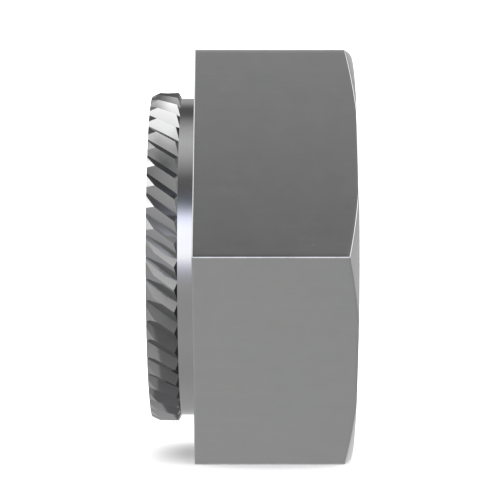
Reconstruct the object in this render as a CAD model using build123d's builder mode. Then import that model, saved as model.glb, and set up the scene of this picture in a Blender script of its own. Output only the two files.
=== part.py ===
from build123d import *
from math import cos, radians, sin, tan
import os

# Self clinching nut: a hexagon body with a knurled clinch ring on an undercut shank.
# Row frame: +X along the thread axis, from the shank end towards the free end of the hexagon,
# +Z up, origin on the thread axis in the plane of the shoulder that bears on the sheet.
# All lengths in millimetres, all angles in degrees.

# hexagon body
across_flats = 13.0          # two of the flats are level, at z = -6.5 and z = +6.5
body_height = 5.03           # shoulder to free end
end_cone_diameter = 13.24    # where the corner chamfer meets the free end
end_cone_angle = 20.5        # corner chamfer, measured from the free end's plane
edge_radius = 0.04           # break on every edge of the hexagon

# shank: neck, then the knurled ring
shank_length = 1.47          # shoulder to shank end
neck_radius = 5.217
ring_radius = 5.405          # crests of the teeth
ring_back_crest = 0.60       # the undercut starts here on the crests
ring_back_root = 0.50        # and reaches the neck here
ring_lead_crest = 1.21       # the lead-in chamfer starts here on the crests
lead_end_radius = 5.285      # lead-in chamfer at the shank end

# teeth: V ridges along a helix; their roots run a little steeper than their crests and deepen
# towards the undercut, where they end at the neck in a small step
tooth_count = 48
tooth_crest_angle = 4.207    # one crest at x = -ring_back_crest, from -Y towards +Z
tooth_advance = 8.05         # turn of the crests per millimetre along the axis
lead_root_radius = 5.205     # roots at the shank end
lead_root_turn = 3.90        # and how far they lie beside the crests, towards +Z at -Y
back_root_radius = 5.181     # the same two where the neck begins
back_root_turn = 3.52

# hole for an M8 x 1.25 thread, drawn at the thread's minor diameter
minor_radius = 3.3235
mouth_radius = 4.2           # countersink at both ends of the hole
mouth_angle = 120            # included angle of the countersinks

# helpers for the outlines
end_slope = tan(radians(end_cone_angle))
lead_slope = (ring_radius - lead_end_radius) / (shank_length - ring_lead_crest)
back_slope = (ring_radius - neck_radius) / (ring_back_crest - ring_back_root)
mouth_depth = (mouth_radius - minor_radius) / tan(radians(mouth_angle / 2))
over = 0.05                  # how far a cutting outline runs past the metal


def tooth_section(x):
    """Section of the toothed bar at station x: crest and root in turn, as (y, z) corners."""
    share = (x + shank_length) / (shank_length - ring_back_root)
    crest_turn = tooth_crest_angle - tooth_advance * (x + ring_back_crest)
    root_turn = crest_turn + lead_root_turn + share * (back_root_turn - lead_root_turn)
    root_radius = lead_root_radius + share * (back_root_radius - lead_root_radius)
    corners = []
    for i in range(tooth_count):
        for r, turn in ((ring_radius, crest_turn), (root_radius, root_turn)):
            turn = radians(turn + i * 360 / tooth_count)
            corners.append((-r * cos(turn), r * sin(turn)))
    return corners


# knurled ring
with BuildPart() as ring:
    # toothed bar, its sections turned along the helix
    front, back = -shank_length - over, -ring_back_root + over
    for station in (front, (front + back) / 2, back):
        with BuildSketch(Plane.YZ.offset(station)):
            with BuildLine():
                Polyline(*tooth_section(station), close=True)
            make_face()
    loft(ruled=True)

    # turned down to the ring's outline: shank end, lead-in chamfer, crests, undercut
    with BuildSketch(Plane.XY):
        with BuildLine():
            Polyline(
                (-shank_length, 0),
                (-shank_length, lead_end_radius),
                (-ring_lead_crest + over / lead_slope, ring_radius + over),
                (-ring_back_crest - over / back_slope, ring_radius + over),
                (-ring_back_root, neck_radius),
                (-ring_back_root, 0),
                close=True,
            )
        make_face()
    revolve(axis=Axis.X, mode=Mode.INTERSECT)

# hexagon body, neck and ring in one piece, with the hole through all three
with BuildPart() as nut:
    # hexagon with corners at -Y and +Y
    with BuildSketch(Plane.YZ):
        RegularPolygon(radius=across_flats / 2, side_count=6, major_radius=False)
    extrude(amount=body_height)

    # conical chamfer over the corners of the free end
    with BuildSketch(Plane.XY):
        with BuildLine():
            Polyline(
                (body_height - (across_flats - end_cone_diameter / 2) * end_slope, across_flats),
                (body_height + 4 * over, end_cone_diameter / 2 - 4 * over / end_slope),
                (body_height + 4 * over, across_flats),
                close=True,
            )
        make_face()
    revolve(axis=Axis.X, mode=Mode.SUBTRACT)

    # small edge breaks all over: long corners, shoulder outline, the end rim of each flat,
    # and the arcs between the chamfer and the end face
    fillet(nut.edges(), radius=edge_radius)

    # neck, running a little way into the hexagon
    with BuildSketch(Plane.YZ.offset(-ring_back_root)):
        Circle(neck_radius)
    extrude(amount=ring_back_root + 1)

    add(ring.part)

    # hole and its countersunk mouths
    with BuildSketch(Plane.XY):
        with BuildLine():
            Polyline(
                (-shank_length - 1, 0),
                (-shank_length - 1, mouth_radius),
                (-shank_length, mouth_radius),
                (-shank_length + mouth_depth, minor_radius),
                (body_height - mouth_depth, minor_radius),
                (body_height, mouth_radius),
                (body_height + 1, mouth_radius),
                (body_height + 1, 0),
                close=True,
            )
        make_face()
    revolve(axis=Axis.X, mode=Mode.SUBTRACT)

nut.part.label = "nut"

os.makedirs("parts", exist_ok=True)
export_step(nut.part, "parts/nut.step")

print("volume mm3", round(nut.part.volume, 3))
print("box", nut.part.bounding_box())
print("hole wall", round(body_height + shank_length - 2 * mouth_depth, 4), "mm long, countersinks", round(mouth_depth, 4))
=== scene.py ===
import math

import bmesh
import bpy
import numpy as np
from mathutils import Matrix, Vector


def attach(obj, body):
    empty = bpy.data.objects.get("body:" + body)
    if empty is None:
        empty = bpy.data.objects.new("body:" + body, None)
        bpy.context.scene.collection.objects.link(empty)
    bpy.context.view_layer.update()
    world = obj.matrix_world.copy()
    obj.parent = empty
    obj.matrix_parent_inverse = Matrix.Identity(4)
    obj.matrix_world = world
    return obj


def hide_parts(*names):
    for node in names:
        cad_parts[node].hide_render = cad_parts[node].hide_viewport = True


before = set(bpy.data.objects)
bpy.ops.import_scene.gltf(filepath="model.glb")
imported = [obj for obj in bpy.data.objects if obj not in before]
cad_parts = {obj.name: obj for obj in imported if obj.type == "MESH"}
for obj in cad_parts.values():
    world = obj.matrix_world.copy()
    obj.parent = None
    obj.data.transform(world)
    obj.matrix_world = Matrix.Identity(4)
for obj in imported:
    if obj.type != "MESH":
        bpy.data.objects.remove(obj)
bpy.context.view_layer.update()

# ---------------------------------------------------------------- dimensions, millimetres and degrees
AF = 13.0                    # across flats
BODY = 5.03                  # shoulder to free end
CONE_R = 6.62                # corner chamfer meets the free end here
CONE_TAN = math.tan(math.radians(20.5))
EDGE = 0.04                  # edge break of the hexagon
SHANK = 1.47
NECK_R = 5.217
CREST_R = 5.405
BACK_CREST, BACK_ROOT = 0.60, 0.50
LEAD_CREST, LEAD_END_R = 1.21, 5.285
TEETH = 48
CREST_AT = 4.207             # a crest at x = -BACK_CREST, turned from -Y towards +Z
ADVANCE = 8.05               # degrees of turn of the crests per millimetre of length
LEAD_ROOT_R, LEAD_ROOT_TURN = 5.205, 3.90    # roots at the shank end: radius, and turn beside the crests
BACK_ROOT_R, BACK_ROOT_TURN = 5.181, 3.52    # the same where the neck begins
MINOR_R, MAJOR_R, PITCH = 3.3235, 4.0, 1.25
MOUTH_R = 4.2
MOUTH_DEPTH = (MOUTH_R - MINOR_R) / math.tan(math.radians(60))
BACK_SLOPE = (CREST_R - NECK_R) / (BACK_CREST - BACK_ROOT)
LEAD_SLOPE = (CREST_R - LEAD_END_R) / (SHANK - LEAD_CREST)
MM = 0.001


# ---------------------------------------------------------------- the nut as one closed skin
# Every loop runs once round the axis through the same number of columns. A loop is an (n, 3) array of points.
PER_SIDE = 64
COLS = 6 * PER_SIDE
CORNER_STEPS = 6


def hexagon_columns():
    """For each column: the point on the hexagon drawn in by the edge break, and the way its surface faces."""
    a = AF / 2 - EDGE
    half = a * math.tan(math.radians(30))
    rc = CONE_R - EDGE * (math.sqrt(1 + CONE_TAN ** 2) - 1) / CONE_TAN
    cross = math.sqrt(rc * rc - a * a)
    inner = np.linspace(0, cross - 0.01, 9)
    outer = np.linspace(cross, half, 21)
    t = np.concatenate([-outer[::-1], -inner[::-1], inner[1:], outer])
    assert len(t) == PER_SIDE - CORNER_STEPS + 1, len(t)
    points, normals = [], []
    for k in range(6):
        turn = math.radians(30 + 60 * k)
        n = np.array([math.cos(turn), math.sin(turn)])
        tau = np.array([-n[1], n[0]])
        for s in t:
            points.append(a * n + s * tau)
            normals.append(n)
        corner = a * n + half * tau
        for i in range(1, CORNER_STEPS):
            w = turn + math.radians(60 * i / CORNER_STEPS)
            points.append(corner)
            normals.append(np.array([math.cos(w), math.sin(w)]))
    return np.array(points), np.array(normals)


def ring(x, r, turn):
    """Points at station x (number or one per column), radius r, turned from +Y towards +Z by turn (radians)."""
    x = np.broadcast_to(np.asarray(x, float), (COLS,))
    r = np.broadcast_to(np.asarray(r, float), (COLS,))
    return np.stack([x, r * np.cos(turn), r * np.sin(turn)], axis=1)


def nut_loops():
    loops = []
    # hexagon, from the shoulder to the free end
    c, n = hexagon_columns()
    zero = np.zeros((COLS, 1))
    n3 = np.hstack([zero, n])
    radial = np.linalg.norm(c, axis=1)
    out = np.hstack([zero, c / radial[:, None]])
    # the ball that rolls along the rim touches the flat and either the end face or the cone
    x_plane = BODY - EDGE
    x_cone = BODY - (radial - CONE_R) * CONE_TAN - EDGE * math.sqrt(1 + CONE_TAN ** 2)
    on_cone = x_cone <= x_plane + 1e-9
    x_ball = np.where(on_cone, x_cone, x_plane)
    ball = np.hstack([x_ball[:, None], c])
    end_dir = np.where(
        on_cone[:, None],
        (np.array([[1.0, 0, 0]]) + CONE_TAN * out) / math.sqrt(1 + CONE_TAN ** 2),
        np.array([[1.0, 0, 0]]),
    )
    # shoulder break
    steps = 7
    for i in range(steps + 1):
        al = math.pi / 2 * (1 - i / steps)
        p = np.hstack([np.full((COLS, 1), EDGE * (1 - math.sin(al))), c]) + EDGE * math.cos(al) * n3
        loops.append(p)
    # flats: a loop close to each end keeps the shading of the long faces even
    low = loops[-1]
    high = ball + EDGE * n3
    for w in (0.02, 0.5, 0.98):
        loops.append(low * (1 - w) + high * w)
    # rim break
    for i in range(steps + 1):
        w = i / steps
        ang = np.arccos(np.clip((n3 * end_dir).sum(1), -1, 1))[:, None]
        d = (np.sin((1 - w) * ang) * n3 + np.sin(w * ang) * end_dir) / np.sin(ang)
        loops.append(ball + EDGE * d)
    rim = loops[-1]
    # cone down to the small break at the end face
    turn = np.arctan2(rim[:, 2], rim[:, 1])
    edge_c = CONE_R - EDGE * math.tan(math.radians(20.5 / 2))
    for k, al in enumerate((20.5, 10.25, 0.0)):
        p = ring(BODY - EDGE + EDGE * math.cos(math.radians(al)), edge_c + EDGE * math.sin(math.radians(al)), turn)
        if k == 0:
            mid = 0.5 * (rim + p)
            loops.append(np.where(on_cone[:, None], mid, rim))
        loops.append(np.where(on_cone[:, None], p, rim))
    # end face to the countersunk mouth; the hole's columns are evenly spaced
    even = 2 * math.pi * (np.arange(COLS) + 0.5) / COLS + (turn[0] - math.pi / COLS)
    outline = loops[-1]
    mouth = ring(BODY, MOUTH_R, even)
    loops.append(0.25 * outline + 0.75 * mouth)
    loops.append(mouth)
    loops.append(ring(BODY - MOUTH_DEPTH, MINOR_R, even))
    hex_part = loops

    # shank, from the shoulder to the shank end. Each column keeps its side of a tooth (lower flank or upper flank)
    # and its share of the way from crest to root
    def tooth(x, upper, share):
        """Radius and turn (radians, from the crest towards +Z at -Y) on a flank at station x."""
        w = (np.asarray(x, float) + SHANK) / (SHANK - BACK_ROOT)
        root_r = LEAD_ROOT_R + w * (BACK_ROOT_R - LEAD_ROOT_R)
        root_turn = np.radians(LEAD_ROOT_TURN + w * (BACK_ROOT_TURN - LEAD_ROOT_TURN))
        root_turn = np.where(upper, root_turn, root_turn - 2 * math.pi / TEETH)
        a = CREST_R + share * (root_r * np.cos(root_turn) - CREST_R)
        b = share * root_r * np.sin(root_turn)
        return np.hypot(a, b), np.arctan2(b, a)

    def solve(f, lo, hi):
        """Where f, below zero at lo and above it at hi, crosses zero; one answer per entry."""
        lo, hi = np.broadcast_arrays(np.asarray(lo, float), np.asarray(hi, float))
        lo, hi = lo.copy(), hi.copy()
        for _ in range(60):
            m = 0.5 * (lo + hi)
            low = f(m) < 0
            lo, hi = np.where(low, m, lo), np.where(low, hi, m)
        return 0.5 * (lo + hi)

    upper, share, crest_no = [], [], []
    for t in range(TEETH):
        for side in (False, True):
            s_lead = float(solve(lambda s: LEAD_END_R - tooth(-SHANK, side, s)[0], 0.0, 1.0))
            s_neck = float(solve(lambda s: NECK_R - tooth(-BACK_ROOT, side, s)[0], 0.0, 1.0))
            steps_down = [0.0, s_lead / 2, s_lead, s_neck, 1.0]
            for s in steps_down[:-1] if not side else steps_down[:0:-1]:
                upper.append(side)
                share.append(s)
                crest_no.append(t + side)
    upper, share, crest_no = np.array(upper), np.array(share), np.array(crest_no)
    assert len(share) == COLS, len(share)

    def groove(x):
        """Radius and turn (from +Y towards +Z) of each column at station x. The helix is given from -Y towards +Z,
        seen the other way round."""
        r, beside = tooth(x, upper, share)
        crest_turn = np.radians(CREST_AT - ADVANCE * (np.asarray(x, float) + BACK_CREST)) - 2 * math.pi / TEETH * crest_no
        return r, math.pi - (crest_turn + beside)

    x_back = solve(lambda x: groove(x)[0] - (NECK_R - BACK_SLOPE * (x + BACK_ROOT)), -BACK_CREST - 0.05, -BACK_ROOT + 0.05)
    x_back = np.minimum(x_back, -BACK_ROOT)
    x_lead = solve(lambda x: LEAD_END_R + LEAD_SLOPE * (x + SHANK) - groove(x)[0], -SHANK - 0.5, -LEAD_CREST + 0.05)
    x_lead = np.maximum(x_lead, -SHANK)
    # start the columns of the shank beside the first column of the hexagon
    first = math.atan2(c[0][1], c[0][0])
    turn0 = groove(-BACK_ROOT)[1]
    shift = int(np.argmin(np.abs((turn0 - first + math.pi) % (2 * math.pi) - math.pi)))
    roll = lambda v: np.roll(v, -shift, axis=0)
    shank = [ring(0.0, NECK_R, turn0), ring(-0.5 * BACK_ROOT, NECK_R, turn0), ring(-BACK_ROOT, NECK_R, turn0)]
    span = 6
    for i in range(span + 1):
        x = x_back + (x_lead - x_back) * i / span
        shank.append(ring(x, *groove(x)))
    r_end, turn_end = groove(-SHANK)
    shank.append(ring(-SHANK, np.minimum(r_end, LEAD_END_R), turn_end))
    shank = [roll(p) for p in shank]
    end_outline = shank[-1]
    mouth2 = ring(-SHANK, MOUTH_R, even)
    shank.append(0.3 * end_outline + 0.7 * mouth2)
    shank.append(mouth2)
    shank.append(ring(-SHANK + MOUTH_DEPTH, MINOR_R, even))
    # the closed round trip: hole wall, free end, hexagon, shoulder, shank, hole wall
    return shank[::-1] + hex_part


def skin(name, loops):
    """Quads between each loop and the next, the last one joined to the first."""
    verts = np.vstack(loops)
    faces = []
    for i in range(len(loops)):
        k = (i + 1) % len(loops)
        for j in range(COLS):
            j2 = (j + 1) % COLS
            faces.append((i * COLS + j, i * COLS + j2, k * COLS + j2, k * COLS + j))
    mesh = bpy.data.meshes.new(name)
    mesh.from_pydata([tuple(v) for v in verts], [], faces)
    bm = bmesh.new()
    bm.from_mesh(mesh)
    bmesh.ops.remove_doubles(bm, verts=bm.verts, dist=2e-5)
    bmesh.ops.dissolve_degenerate(bm, dist=2e-5, edges=bm.edges)
    bmesh.ops.recalc_face_normals(bm, faces=bm.faces)
    bm.to_mesh(mesh)
    bm.free()
    return mesh


def thread_cutter(name):
    """One solid helical ridge, right handed, with the profile that a tap leaves in the wall."""
    start, end, seg = -SHANK - 0.9, BODY + 0.9, 96
    inner = MINOR_R - 0.25
    root_half = PITCH / 16
    inner_half = min(root_half + (MAJOR_R - inner) * math.tan(math.radians(30)), PITCH / 2 - 0.01)
    # section corners as (offset along the axis, radius)
    section = [(-inner_half, inner), (-root_half, MAJOR_R), (root_half, MAJOR_R), (inner_half, inner)]
    steps = int(round((end - start) / PITCH * seg))
    verts, faces = [], []
    for i in range(steps + 1):
        turn = 2 * math.pi * i / seg
        for dx, r in section:
            verts.append((start + PITCH * i / seg + dx, r * math.cos(turn), r * math.sin(turn)))
    for i in range(steps):
        for k in range(4):
            faces.append((i * 4 + k, i * 4 + (k + 1) % 4, (i + 1) * 4 + (k + 1) % 4, (i + 1) * 4 + k))
    faces.append((0, 1, 2, 3))
    faces.append(tuple(steps * 4 + k for k in (3, 2, 1, 0)))
    mesh = bpy.data.meshes.new(name)
    mesh.from_pydata(verts, [], faces)
    bm = bmesh.new()
    bm.from_mesh(mesh)
    bmesh.ops.recalc_face_normals(bm, faces=bm.faces)
    bm.to_mesh(mesh)
    bm.free()
    return mesh


# the factory scene's own cube, lamp and camera go
for name in ("Cube", "Light", "Camera"):
    if name in bpy.data.objects:
        bpy.data.objects.remove(bpy.data.objects[name])

nut = bpy.data.objects.new("nut_steel", skin("nut_steel", nut_loops()))
bpy.context.scene.collection.objects.link(nut)
cutter = bpy.data.objects.new("cutter", thread_cutter("cutter"))
bpy.context.scene.collection.objects.link(cutter)
cut = nut.modifiers.new("thread", "BOOLEAN")
cut.operation = "DIFFERENCE"
cut.solver = "EXACT"
cut.object = cutter
bpy.context.view_layer.update()
mesh = bpy.data.meshes.new_from_object(nut.evaluated_get(bpy.context.evaluated_depsgraph_get()))
nut.modifiers.clear()
nut.data = mesh
bpy.data.objects.remove(cutter)
bm = bmesh.new()
bm.from_mesh(mesh)
# corners that the cut left within a ten-thousandth of a millimetre of each other become one
bmesh.ops.remove_doubles(bm, verts=bm.verts, dist=1e-4)
bmesh.ops.dissolve_degenerate(bm, dist=1e-4, edges=bm.edges)
print("nut: open edges", sum(1 for e in bm.edges if len(e.link_faces) != 2), "volume mm3", round(bm.calc_volume(), 2),
      "faces", len(bm.faces), "without area", sum(1 for f in bm.faces if f.calc_area() < 1e-8))
bm.to_mesh(mesh)
bm.free()
mesh.transform(Matrix.Scale(MM, 4))
mesh.shade_smooth()
mesh.set_sharp_from_angle(angle=math.radians(18))
# the free end, the shoulder and the shank end are shaded as true planes
bm = bmesh.new()
bm.from_mesh(mesh)
for edge in bm.edges:
    if len({abs(f.normal.x) > 0.99999 for f in edge.link_faces}) == 2:
        edge.smooth = False
bm.to_mesh(mesh)
bm.free()
even_shade = nut.modifiers.new("even_shade", "WEIGHTED_NORMAL")
even_shade.mode = "FACE_AREA"
even_shade.weight = 50
even_shade.keep_sharp = True
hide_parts("nut")
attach(nut, "root")

# ---------------------------------------------------------------- node helpers
class Wires:
    """Adds nodes to one tree; every call gives back the new node's output."""

    def __init__(self, tree):
        self.tree = tree

    def put(self, node, values):
        for key, v in values.items():
            if isinstance(v, bpy.types.NodeSocket):
                self.tree.links.new(v, node.inputs[key])
            else:
                node.inputs[key].default_value = v

    def node(self, kind, values=None, **settings):
        n = self.tree.nodes.new(kind)
        for k, v in settings.items():
            setattr(n, k, v)
        self.put(n, values or {})
        return n

    def math(self, op, *args, clamp=False):
        return self.node("ShaderNodeMath", dict(enumerate(args)), operation=op, use_clamp=clamp).outputs[0]

    def mul(self, a, b):
        return self.math("MULTIPLY", a, b)

    def add(self, a, b):
        return self.math("ADD", a, b)

    def smooth(self, x, lo, hi, a=0.0, b=1.0):
        """From a at lo to b at hi, eased at both ends."""
        n = self.node("ShaderNodeMapRange", {"Value": x, "From Min": lo, "From Max": hi, "To Min": a, "To Max": b})
        n.interpolation_type = "SMOOTHSTEP"
        return n.outputs[0]

    def split(self, v):
        return self.node("ShaderNodeSeparateXYZ", {0: v}).outputs

    def join(self, x, y, z):
        return self.node("ShaderNodeCombineXYZ", {0: x, 1: y, 2: z}).outputs[0]

    def blend(self, share, a, b):
        """a where share is 0, b where it is 1."""
        return self.node("ShaderNodeMix", {"Factor": share, "A": a, "B": b}).outputs[0]

    def noise(self, v, scale, detail=2.0, roughness=0.5):
        return self.node(
            "ShaderNodeTexNoise", {"Vector": v, "Scale": scale, "Detail": detail, "Roughness": roughness}
        ).outputs[0]


# ---------------------------------------------------------------- steel
# thin zinc plating over turned, drawn and rolled steel; positions below are in millimetres
steel = bpy.data.materials.new("steel")
steel.use_nodes = True
bsdf = steel.node_tree.nodes["Principled BSDF"]
s = Wires(steel.node_tree)
coords = s.node("ShaderNodeTexCoord").outputs
place = s.node("ShaderNodeVectorMath", {0: coords["Object"], "Scale": 1000.0}, operation="SCALE").outputs[0]
px, py, pz = s.split(place)
nx, ny, nz = s.split(coords["Normal"])
pr = s.math("SQRT", s.add(s.mul(py, py), s.mul(pz, pz)))
on_hexagon = s.smooth(pr, 5.75, 5.95)
in_hole = s.smooth(pr, 4.30, 4.15)
on_flats = s.mul(on_hexagon, s.smooth(s.math("ABSOLUTE", nx), 0.30, 0.10))
on_ring = s.mul(s.smooth(px, -0.485, -0.515), s.smooth(pr, 4.9, 5.1))

# plating mottle, finer grain, drawn lines along the flats, turned rings elsewhere, a few handling scratches
mottle = s.noise(place, 1.7, 4.0, 0.55)
grain = s.noise(place, 22.0, 3.0, 0.6)
drawn = s.noise(s.join(s.mul(px, 0.35), s.mul(py, 9.0), s.mul(pz, 9.0)), 1.0, 3.0, 0.65)
rings = s.noise(s.join(s.mul(px, 13.0), s.mul(pr, 13.0), 0.0), 1.0, 3.0, 0.6)
lines = s.blend(on_flats, rings, drawn)
twist = s.noise(place, 0.35, 1.0, 0.5)
scratch_at = s.join(s.add(s.mul(px, 0.9), s.mul(py, 0.5)), s.add(s.mul(pz, 2.3), s.mul(twist, 3.0)), s.mul(py, 0.4))
hair = s.math("ABSOLUTE", s.add(s.noise(scratch_at, 1.3, 2.0, 0.5), -0.5))
scratch = s.mul(s.smooth(hair, 0.006, 0.001), s.smooth(s.noise(place, 0.9, 2.0, 0.5), 0.52, 0.62))

# rubbed edges and painted highlight: the metal is brighter along the long corners, both rims of the hexagon, crests
# of the teeth, both mouths of the hole
corner = s.mul(s.smooth(pr, 7.478, 7.495), 0.93)
rim_a = s.mul(s.mul(on_hexagon, s.smooth(px, 0.08, 0.03)), s.smooth(nx, -0.98, -0.90))
to_cone = s.math("ABSOLUTE", s.add(s.add(px, s.mul(pr, CONE_TAN)), -(BODY + CONE_R * CONE_TAN)))
rim_b = s.mul(s.mul(on_hexagon, s.smooth(to_cone, 0.05, 0.01)), s.smooth(s.math("ABSOLUTE", s.add(nx, -0.55)), 0.40, 0.30))
outline = s.smooth(s.math("ABSOLUTE", s.add(pr, -CONE_R)), 0.07, 0.01)
rim_c = s.mul(outline, s.smooth(px, BODY - 0.06, BODY - 0.02))
crests = s.mul(on_ring, s.smooth(pr, 5.345, 5.400))
mouths = s.smooth(s.math("ABSOLUTE", s.add(pr, -MOUTH_R)), 0.06, 0.01)
edges = s.math("MAXIMUM", s.math("MAXIMUM", s.math("MAXIMUM", corner, s.mul(rim_a, 0.2)), s.math("MAXIMUM", s.mul(rim_b, 0.3), rim_c)),
               s.math("MAXIMUM", s.mul(crests, 0.15), s.mul(mouths, 0.6)))
wear_and_highlight = s.mul(edges, s.smooth(s.add(s.mul(mottle, 0.6), s.mul(grain, 0.4)), 0.38, 0.56, 0.45, 1.0))

# painted shade: the colour is darker in the recesses, at the neck, the roots of the teeth and the thread
on_neck = s.mul(s.mul(s.smooth(px, -0.50, -0.47), s.smooth(px, 0.02, -0.01)), s.mul(s.smooth(pr, 5.26, 5.23), s.smooth(pr, 5.05, 5.15)))
roots = s.mul(on_ring, s.smooth(pr, 5.36, 5.18))
painted_shade = s.mul(s.mul(s.smooth(roots, 0.0, 1.0, 1.0, 0.93), s.smooth(in_hole, 0.0, 1.0, 1.0, 0.82)), s.smooth(on_neck, 0.0, 1.0, 1.0, 0.965))
tone = s.add(s.smooth(mottle, 0.25, 0.75, 0.984, 1.016), s.smooth(lines, 0.25, 0.75, -0.010, 0.010))
tone = s.add(tone, s.smooth(grain, 0.2, 0.8, -0.009, 0.009))
# the colour takes the painted shade of the recesses, and the edge wear with its painted highlight
tone = s.mul(s.mul(tone, painted_shade), s.add(1.0, s.add(s.mul(wear_and_highlight, 0.42), s.mul(scratch, 0.05))))
warm = s.smooth(s.noise(place, 0.8, 2.0, 0.5), 0.3, 0.7, -0.0025, 0.0025)
s.put(bsdf, {
    "Metallic": 1.0,
    "Base Color": s.join(s.mul(s.add(warm, 0.4498), tone), s.mul(0.450, tone), s.mul(s.add(s.mul(warm, -1.0), 0.4505), tone)),
    "Roughness": s.add(
        s.add(s.smooth(mottle, 0.25, 0.75, 0.100, 0.125), s.smooth(grain, 0.25, 0.75, -0.012, 0.012)),
        s.add(s.mul(wear_and_highlight, -0.02), s.add(s.mul(in_hole, 0.08), s.mul(scratch, 0.06))),
    ),
})
height = s.add(s.add(s.mul(lines, 0.55), s.mul(grain, 0.20)), s.add(s.mul(mottle, 0.25), s.mul(scratch, -0.6)))
relief = s.node("ShaderNodeBump", {"Strength": 1.0, "Distance": 2.2e-7, "Height": height})
s.put(bsdf, {"Normal": relief.outputs["Normal"]})
nut.data.materials.clear()
nut.data.materials.append(steel)

# ---------------------------------------------------------------- floor, light, camera
bpy.ops.mesh.primitive_plane_add(size=4, location=(0, 0, -AF / 2 * MM))
floor = bpy.context.object
floor.name = "floor"
pale = bpy.data.materials.new("floor")
pale.use_nodes = True
pale.node_tree.nodes["Principled BSDF"].inputs["Base Color"].default_value = (0.97, 0.97, 0.97, 1)
pale.node_tree.nodes["Principled BSDF"].inputs["Roughness"].default_value = 1
pale.node_tree.nodes["Principled BSDF"].inputs["Specular IOR Level"].default_value = 0
floor.data.materials.append(pale)
floor.visible_glossy = False

# soft studio light: a wide panel in front, round ones at the left and right, a lamp overhead, a pale ground.
# Metal reflects this world by direction; everything else stands in even white light.
world = bpy.data.worlds.new("studio")
bpy.context.scene.world = world
world.use_nodes = True
w = Wires(world.node_tree)
back = world.node_tree.nodes["Background"]
way = w.node("ShaderNodeTexCoord").outputs["Generated"]
x, y, z = w.split(way)
deg = 180 / math.pi
el = w.mul(w.math("ARCSINE", w.math("MAXIMUM", w.math("MINIMUM", z, 1.0), -1.0)), deg)
az = w.mul(w.math("ARCTAN2", x, w.mul(y, -1.0)), deg)      # 0 towards the camera, 90 towards +X


def profile(points, peak=1.0):
    """A value by elevation in degrees, drawn through the points."""
    node = w.node("ShaderNodeFloatCurve", {"Value": w.math("DIVIDE", w.add(el, 90.0), 180.0)})
    curve = node.mapping.curves[0]
    curve.points[0].location = (0, points[0][1] / peak)
    curve.points[1].location = (1, points[-1][1] / peak)
    for e, v in points[1:-1]:
        curve.points.new((e + 90) / 180, v / peak)
    node.mapping.update()
    return w.mul(w.math("MAXIMUM", node.outputs[0], 0.0), peak)


def panel(a, e, r_in, r_out, strength):
    """A round soft light at azimuth a and elevation e, full out to r_in degrees, gone at r_out."""
    a, e = math.radians(a), math.radians(e)
    toward = (math.sin(a) * math.cos(e), -math.cos(a) * math.cos(e), math.sin(e))
    dot = w.node("ShaderNodeVectorMath", {0: way, 1: toward}, operation="DOT_PRODUCT").outputs["Value"]
    off = w.mul(w.math("ARCCOSINE", w.math("MAXIMUM", w.math("MINIMUM", dot, 1.0), -1.0)), deg)
    return w.smooth(off, r_out, r_in, 0.0, strength)


around = profile([(-90, 0.54), (-79, 0.56), (-70, 0.578), (-60, 0.590), (-45, 0.580), (-35, 0.572), (-20, 0.585), (-8, 0.533),
                  (5, 0.32), (15, 0.09), (25, 0.115), (36, 0.15), (47, 0.172), (52, 0.178), (56, 0.198), (60, 0.287), (65, 0.437),
                  (70, 0.57), (76, 0.725), (83, 0.83), (90, 0.865)])
in_front = w.mul(w.smooth(az, -44.5, -11.0), w.smooth(az, 38.5, 2.5))
front = profile([(-90, 0), (-28, 0), (-20, 0.05), (-15, 0.13), (-11, 0.335), (-7, 0.66), (-3, 1.25), (1, 1.70), (6, 1.92), (12, 2.10),
                 (18, 2.16), (23, 2.00), (27, 1.68), (30, 1.26), (33, 0.82), (36, 0.40), (40, 0.13), (44, 0.035), (50, 0), (90, 0)], 2.3)
behind = w.mul(w.mul(w.smooth(el, -30.0, 15.0), w.smooth(el, 46.0, 28.0)), w.smooth(w.math("ABSOLUTE", az), 100.0, 135.0, 0.0, 0.37))
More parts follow.
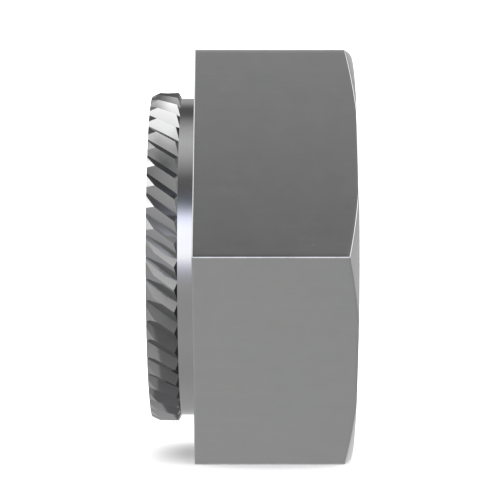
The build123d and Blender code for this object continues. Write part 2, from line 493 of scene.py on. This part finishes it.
# the panels at the left end at a straight edge, from (-45, 46.8) up to (-60, 61.3)
left = w.add(w.add(panel(-74.5, 30, 29.5, 38.3, 0.30), panel(-61.5, 43, 13, 22, 1.45)),
             w.add(panel(-94, 42, 13.5, 19, 0.62), panel(-60, 18, 9, 14.5, 0.90)))
edge_a, edge_b = (Vector((math.sin(a) * math.cos(e), -math.cos(a) * math.cos(e), math.sin(e)))
                  for a, e in ((math.radians(-45), math.radians(46.8)), (math.radians(-60), math.radians(61.3))))
inward = edge_a.cross(edge_b).normalized()
past = w.node("ShaderNodeVectorMath", {0: way, 1: tuple(inward)}, operation="DOT_PRODUCT").outputs["Value"]
left = w.mul(left, w.smooth(past, -0.012, 0.016))
sides = [left, panel(-29.5, 24.5, 14.5, 19.5, 0.36), panel(32, 40, 11, 27, 0.50), panel(80, 28, 16, 34, 1.8),
         panel(102, 46, 12, 30, 1.6), panel(-122, 20, 10, 22, 1.5), panel(-87, 73, 11, 16, 0.30), panel(45, -40, 8, 38, -0.19),
         panel(-92, -58, 8, 22, -0.05), panel(-145, 56, 10, 35, -0.04)]
light = w.add(w.add(around, w.mul(front, in_front)), behind)
for one in sides:
    light = w.add(light, one)
# the ground is in the nut's own shade where one facet mirrors it into another
rays = w.node("ShaderNodeLightPath").outputs
second = w.mul(w.math("GREATER_THAN", rays["Glossy Depth"], 1.5), w.smooth(el, -12.0, -30.0, 0.0, 0.24))
third = w.mul(w.math("GREATER_THAN", rays["Glossy Depth"], 2.5), w.smooth(el, 10.0, -14.0, 0.0, 0.67))
light = w.mul(light, w.add(1.0, w.mul(w.math("MAXIMUM", second, third), -1.0)))
# the front panel is a cool one: a little more blue than white, a little less red
more_blue = profile([(-90, 0), (-21, 0), (-17, 0.025), (-12, 0.103), (-8, 0.13), (-4, 0.15), (1, 0.105), (8, 0.20), (16, 0.30),
                     (21, 0.35), (25, 0.35), (30, 0.275), (34, 0.139), (39, 0.06), (43, 0.038), (48, 0.014), (54, 0), (90, 0)])
less_red = profile([(-90, 0), (-12, 0), (-8, 0.006), (-4, 0.012), (1, 0.027), (8, 0.04), (16, 0.04), (21, 0.068), (25, 0.07),
                    (30, 0.049), (34, 0.046), (39, 0.035), (46, 0), (90, 0)])
red = w.add(light, w.mul(w.mul(less_red, in_front), -1.0))
blue = w.add(w.add(light, w.mul(more_blue, in_front)), panel(-65, -42, 15, 35, 0.018))
seen = w.node("ShaderNodeMix", {6: (1.8, 1.8, 1.8, 1.0), 7: w.join(red, light, blue), 0: rays["Is Glossy Ray"]}, data_type="RGBA")
w.put(back, {"Strength": 1.0, "Color": seen.outputs[2]})

cam_data = bpy.data.cameras.new("camera")
cam = bpy.data.objects.new("camera", cam_data)
bpy.context.scene.collection.objects.link(cam)
cam.location = (1.734 * MM, -70.85 * MM, 0.22 * MM)
cam.rotation_euler = (math.pi / 2, 0, 0)
cam_data.sensor_width = 36
cam_data.lens = 154.2
cam_data.clip_start = 0.001
bpy.context.scene.camera = cam
bpy.context.scene.view_settings.view_transform = "Standard"
